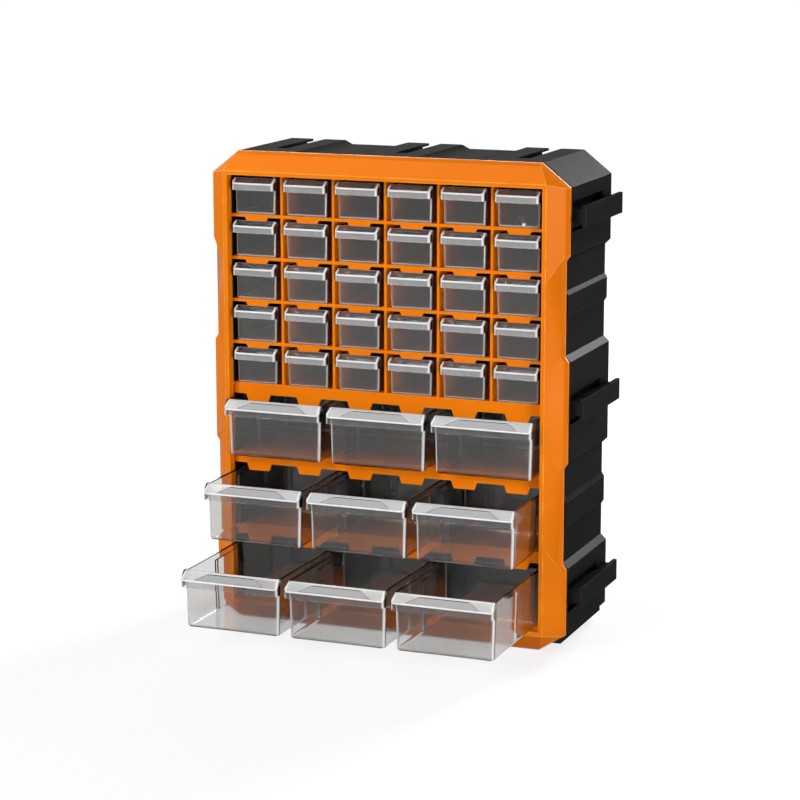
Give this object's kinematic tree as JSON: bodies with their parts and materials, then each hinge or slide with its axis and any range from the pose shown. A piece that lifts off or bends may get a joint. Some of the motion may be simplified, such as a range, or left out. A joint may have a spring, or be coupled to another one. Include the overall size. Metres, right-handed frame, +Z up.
{
  "type": "parts cabinet",
  "caption": "Free-standing parts cabinet: a faceted front frame and dark shell round a rack of small and large clear drawers, with joining rails and slots on its sides and top.",
  "frame": {"origin": "middle of the base, on the underside of the middle runner, half way through the cabinet's depth", "axes": "+X to the right as seen from the front, +Y from the drawers' fronts to the back, +Z up"},
  "size_m": [0.392, 0.2744, 0.487],
  "materials": {
    "orange_plastic": "satin",
    "black_plastic": "matte",
    "clear_plastic": "gloss"
  },
  "bodies": {
    "cabinet": {"front_frame": "orange_plastic", "rear_shell": "black_plastic", "rack_floor_board": "orange_plastic", "lower_band_shelf": "orange_plastic", "middle_band_shelf": "orange_plastic", "upper_band_shelf": "orange_plastic", "small_shelf_4": "orange_plastic", "small_shelf_3": "orange_plastic", "small_shelf_2": "orange_plastic", "small_shelf_1": "orange_plastic", "rack_top_board": "black_plastic", "small_divider_1": "orange_plastic", "small_divider_2": "orange_plastic", "small_divider_3": "orange_plastic", "small_divider_4": "orange_plastic", "small_divider_5": "orange_plastic", "bay_partition_left": "black_plastic", "bay_partition_right": "black_plastic", "rack_side_left": "black_plastic", "rack_side_right": "black_plastic"},
    "small_drawer_r1_c1": {"small_drawer_r1_c1": "clear_plastic"},
    "small_drawer_r1_c2": {"small_drawer_r1_c2": "clear_plastic"},
    "small_drawer_r1_c3": {"small_drawer_r1_c3": "clear_plastic"},
    "small_drawer_r1_c4": {"small_drawer_r1_c4": "clear_plastic"},
    "small_drawer_r1_c5": {"small_drawer_r1_c5": "clear_plastic"},
    "small_drawer_r1_c6": {"small_drawer_r1_c6": "clear_plastic"},
    "small_drawer_r2_c1": {"small_drawer_r2_c1": "clear_plastic"},
    "small_drawer_r2_c2": {"small_drawer_r2_c2": "clear_plastic"},
    "small_drawer_r2_c3": {"small_drawer_r2_c3": "clear_plastic"},
    "small_drawer_r2_c4": {"small_drawer_r2_c4": "clear_plastic"},
    "small_drawer_r2_c5": {"small_drawer_r2_c5": "clear_plastic"},
    "small_drawer_r2_c6": {"small_drawer_r2_c6": "clear_plastic"},
    "small_drawer_r3_c1": {"small_drawer_r3_c1": "clear_plastic"},
    "small_drawer_r3_c2": {"small_drawer_r3_c2": "clear_plastic"},
    "small_drawer_r3_c3": {"small_drawer_r3_c3": "clear_plastic"},
    "small_drawer_r3_c4": {"small_drawer_r3_c4": "clear_plastic"},
    "small_drawer_r3_c5": {"small_drawer_r3_c5": "clear_plastic"},
    "small_drawer_r3_c6": {"small_drawer_r3_c6": "clear_plastic"},
    "small_drawer_r4_c1": {"small_drawer_r4_c1": "clear_plastic"},
    "small_drawer_r4_c2": {"small_drawer_r4_c2": "clear_plastic"},
    "small_drawer_r4_c3": {"small_drawer_r4_c3": "clear_plastic"},
    "small_drawer_r4_c4": {"small_drawer_r4_c4": "clear_plastic"},
    "small_drawer_r4_c5": {"small_drawer_r4_c5": "clear_plastic"},
    "small_drawer_r4_c6": {"small_drawer_r4_c6": "clear_plastic"},
    "small_drawer_r5_c1": {"small_drawer_r5_c1": "clear_plastic"},
    "small_drawer_r5_c2": {"small_drawer_r5_c2": "clear_plastic"},
    "small_drawer_r5_c3": {"small_drawer_r5_c3": "clear_plastic"},
    "small_drawer_r5_c4": {"small_drawer_r5_c4": "clear_plastic"},
    "small_drawer_r5_c5": {"small_drawer_r5_c5": "clear_plastic"},
    "small_drawer_r5_c6": {"small_drawer_r5_c6": "clear_plastic"},
    "large_drawer_r6_c1": {"large_drawer_r6_c1": "clear_plastic"},
    "large_drawer_r6_c2": {"large_drawer_r6_c2": "clear_plastic"},
    "large_drawer_r6_c3": {"large_drawer_r6_c3": "clear_plastic"},
    "large_drawer_r7_c1": {"large_drawer_r7_c1": "clear_plastic"},
    "large_drawer_r7_c2": {"large_drawer_r7_c2": "clear_plastic"},
    "large_drawer_r7_c3": {"large_drawer_r7_c3": "clear_plastic"},
    "large_drawer_r8_c1": {"large_drawer_r8_c1": "clear_plastic"},
    "large_drawer_r8_c2": {"large_drawer_r8_c2": "clear_plastic"},
    "large_drawer_r8_c3": {"large_drawer_r8_c3": "clear_plastic"}
  },
  "joints": [
    {"name": "small_drawer_r1_c1_slide", "type": "slide", "parent": "cabinet", "child": "small_drawer_r1_c1", "axis": [0, -1, 0], "range_m": [0, 0.1272]},
    {"name": "small_drawer_r1_c2_slide", "type": "slide", "parent": "cabinet", "child": "small_drawer_r1_c2", "axis": [0, -1, 0], "range_m": [0, 0.1272]},
    {"name": "small_drawer_r1_c3_slide", "type": "slide", "parent": "cabinet", "child": "small_drawer_r1_c3", "axis": [0, -1, 0], "range_m": [0, 0.1272]},
    {"name": "small_drawer_r1_c4_slide", "type": "slide", "parent": "cabinet", "child": "small_drawer_r1_c4", "axis": [0, -1, 0], "range_m": [0, 0.1272]},
    {"name": "small_drawer_r1_c5_slide", "type": "slide", "parent": "cabinet", "child": "small_drawer_r1_c5", "axis": [0, -1, 0], "range_m": [0, 0.1272]},
    {"name": "small_drawer_r1_c6_slide", "type": "slide", "parent": "cabinet", "child": "small_drawer_r1_c6", "axis": [0, -1, 0], "range_m": [0, 0.1272]},
    {"name": "small_drawer_r2_c1_slide", "type": "slide", "parent": "cabinet", "child": "small_drawer_r2_c1", "axis": [0, -1, 0], "range_m": [0, 0.1272]},
    {"name": "small_drawer_r2_c2_slide", "type": "slide", "parent": "cabinet", "child": "small_drawer_r2_c2", "axis": [0, -1, 0], "range_m": [0, 0.1272]},
    {"name": "small_drawer_r2_c3_slide", "type": "slide", "parent": "cabinet", "child": "small_drawer_r2_c3", "axis": [0, -1, 0], "range_m": [0, 0.1272]},
    {"name": "small_drawer_r2_c4_slide", "type": "slide", "parent": "cabinet", "child": "small_drawer_r2_c4", "axis": [0, -1, 0], "range_m": [0, 0.1272]},
    {"name": "small_drawer_r2_c5_slide", "type": "slide", "parent": "cabinet", "child": "small_drawer_r2_c5", "axis": [0, -1, 0], "range_m": [0, 0.1272]},
    {"name": "small_drawer_r2_c6_slide", "type": "slide", "parent": "cabinet", "child": "small_drawer_r2_c6", "axis": [0, -1, 0], "range_m": [0, 0.1272]},
    {"name": "small_drawer_r3_c1_slide", "type": "slide", "parent": "cabinet", "child": "small_drawer_r3_c1", "axis": [0, -1, 0], "range_m": [0, 0.1272]},
    {"name": "small_drawer_r3_c2_slide", "type": "slide", "parent": "cabinet", "child": "small_drawer_r3_c2", "axis": [0, -1, 0], "range_m": [0, 0.1272]},
    {"name": "small_drawer_r3_c3_slide", "type": "slide", "parent": "cabinet", "child": "small_drawer_r3_c3", "axis": [0, -1, 0], "range_m": [0, 0.1272]},
    {"name": "small_drawer_r3_c4_slide", "type": "slide", "parent": "cabinet", "child": "small_drawer_r3_c4", "axis": [0, -1, 0], "range_m": [0, 0.1272]},
    {"name": "small_drawer_r3_c5_slide", "type": "slide", "parent": "cabinet", "child": "small_drawer_r3_c5", "axis": [0, -1, 0], "range_m": [0, 0.1272]},
    {"name": "small_drawer_r3_c6_slide", "type": "slide", "parent": "cabinet", "child": "small_drawer_r3_c6", "axis": [0, -1, 0], "range_m": [0, 0.1272]},
    {"name": "small_drawer_r4_c1_slide", "type": "slide", "parent": "cabinet", "child": "small_drawer_r4_c1", "axis": [0, -1, 0], "range_m": [0, 0.1272]},
    {"name": "small_drawer_r4_c2_slide", "type": "slide", "parent": "cabinet", "child": "small_drawer_r4_c2", "axis": [0, -1, 0], "range_m": [0, 0.1272]},
    {"name": "small_drawer_r4_c3_slide", "type": "slide", "parent": "cabinet", "child": "small_drawer_r4_c3", "axis": [0, -1, 0], "range_m": [0, 0.1272]},
    {"name": "small_drawer_r4_c4_slide", "type": "slide", "parent": "cabinet", "child": "small_drawer_r4_c4", "axis": [0, -1, 0], "range_m": [0, 0.1272]},
    {"name": "small_drawer_r4_c5_slide", "type": "slide", "parent": "cabinet", "child": "small_drawer_r4_c5", "axis": [0, -1, 0], "range_m": [0, 0.1272]},
    {"name": "small_drawer_r4_c6_slide", "type": "slide", "parent": "cabinet", "child": "small_drawer_r4_c6", "axis": [0, -1, 0], "range_m": [0, 0.1272]},
    {"name": "small_drawer_r5_c1_slide", "type": "slide", "parent": "cabinet", "child": "small_drawer_r5_c1", "axis": [0, -1, 0], "range_m": [0, 0.1272]},
    {"name": "small_drawer_r5_c2_slide", "type": "slide", "parent": "cabinet", "child": "small_drawer_r5_c2", "axis": [0, -1, 0], "range_m": [0, 0.1272]},
    {"name": "small_drawer_r5_c3_slide", "type": "slide", "parent": "cabinet", "child": "small_drawer_r5_c3", "axis": [0, -1, 0], "range_m": [0, 0.1272]},
    {"name": "small_drawer_r5_c4_slide", "type": "slide", "parent": "cabinet", "child": "small_drawer_r5_c4", "axis": [0, -1, 0], "range_m": [0, 0.1272]},
    {"name": "small_drawer_r5_c5_slide", "type": "slide", "parent": "cabinet", "child": "small_drawer_r5_c5", "axis": [0, -1, 0], "range_m": [0, 0.1272]},
    {"name": "small_drawer_r5_c6_slide", "type": "slide", "parent": "cabinet", "child": "small_drawer_r5_c6", "axis": [0, -1, 0], "range_m": [0, 0.1272]},
    {"name": "large_drawer_r6_c1_slide", "type": "slide", "parent": "cabinet", "child": "large_drawer_r6_c1", "axis": [0, -1, 0], "range_m": [-0.0213, 0.1058]},
    {"name": "large_drawer_r6_c2_slide", "type": "slide", "parent": "cabinet", "child": "large_drawer_r6_c2", "axis": [0, -1, 0], "range_m": [-0.0213, 0.1058]},
    {"name": "large_drawer_r6_c3_slide", "type": "slide", "parent": "cabinet", "child": "large_drawer_r6_c3", "axis": [0, -1, 0], "range_m": [-0.0213, 0.1058]},
    {"name": "large_drawer_r7_c1_slide", "type": "slide", "parent": "cabinet", "child": "large_drawer_r7_c1", "axis": [0, -1, 0], "range_m": [-0.072, 0.0551]},
    {"name": "large_drawer_r7_c2_slide", "type": "slide", "parent": "cabinet", "child": "large_drawer_r7_c2", "axis": [0, -1, 0], "range_m": [-0.072, 0.0551]},
    {"name": "large_drawer_r7_c3_slide", "type": "slide", "parent": "cabinet", "child": "large_drawer_r7_c3", "axis": [0, -1, 0], "range_m": [-0.072, 0.0551]},
    {"name": "large_drawer_r8_c1_slide", "type": "slide", "parent": "cabinet", "child": "large_drawer_r8_c1", "axis": [0, -1, 0], "range_m": [-0.126, 0.0011]},
    {"name": "large_drawer_r8_c2_slide", "type": "slide", "parent": "cabinet", "child": "large_drawer_r8_c2", "axis": [0, -1, 0], "range_m": [-0.126, 0.0011]},
    {"name": "large_drawer_r8_c3_slide", "type": "slide", "parent": "cabinet", "child": "large_drawer_r8_c3", "axis": [0, -1, 0], "range_m": [-0.126, 0.0011]}
  ]
}
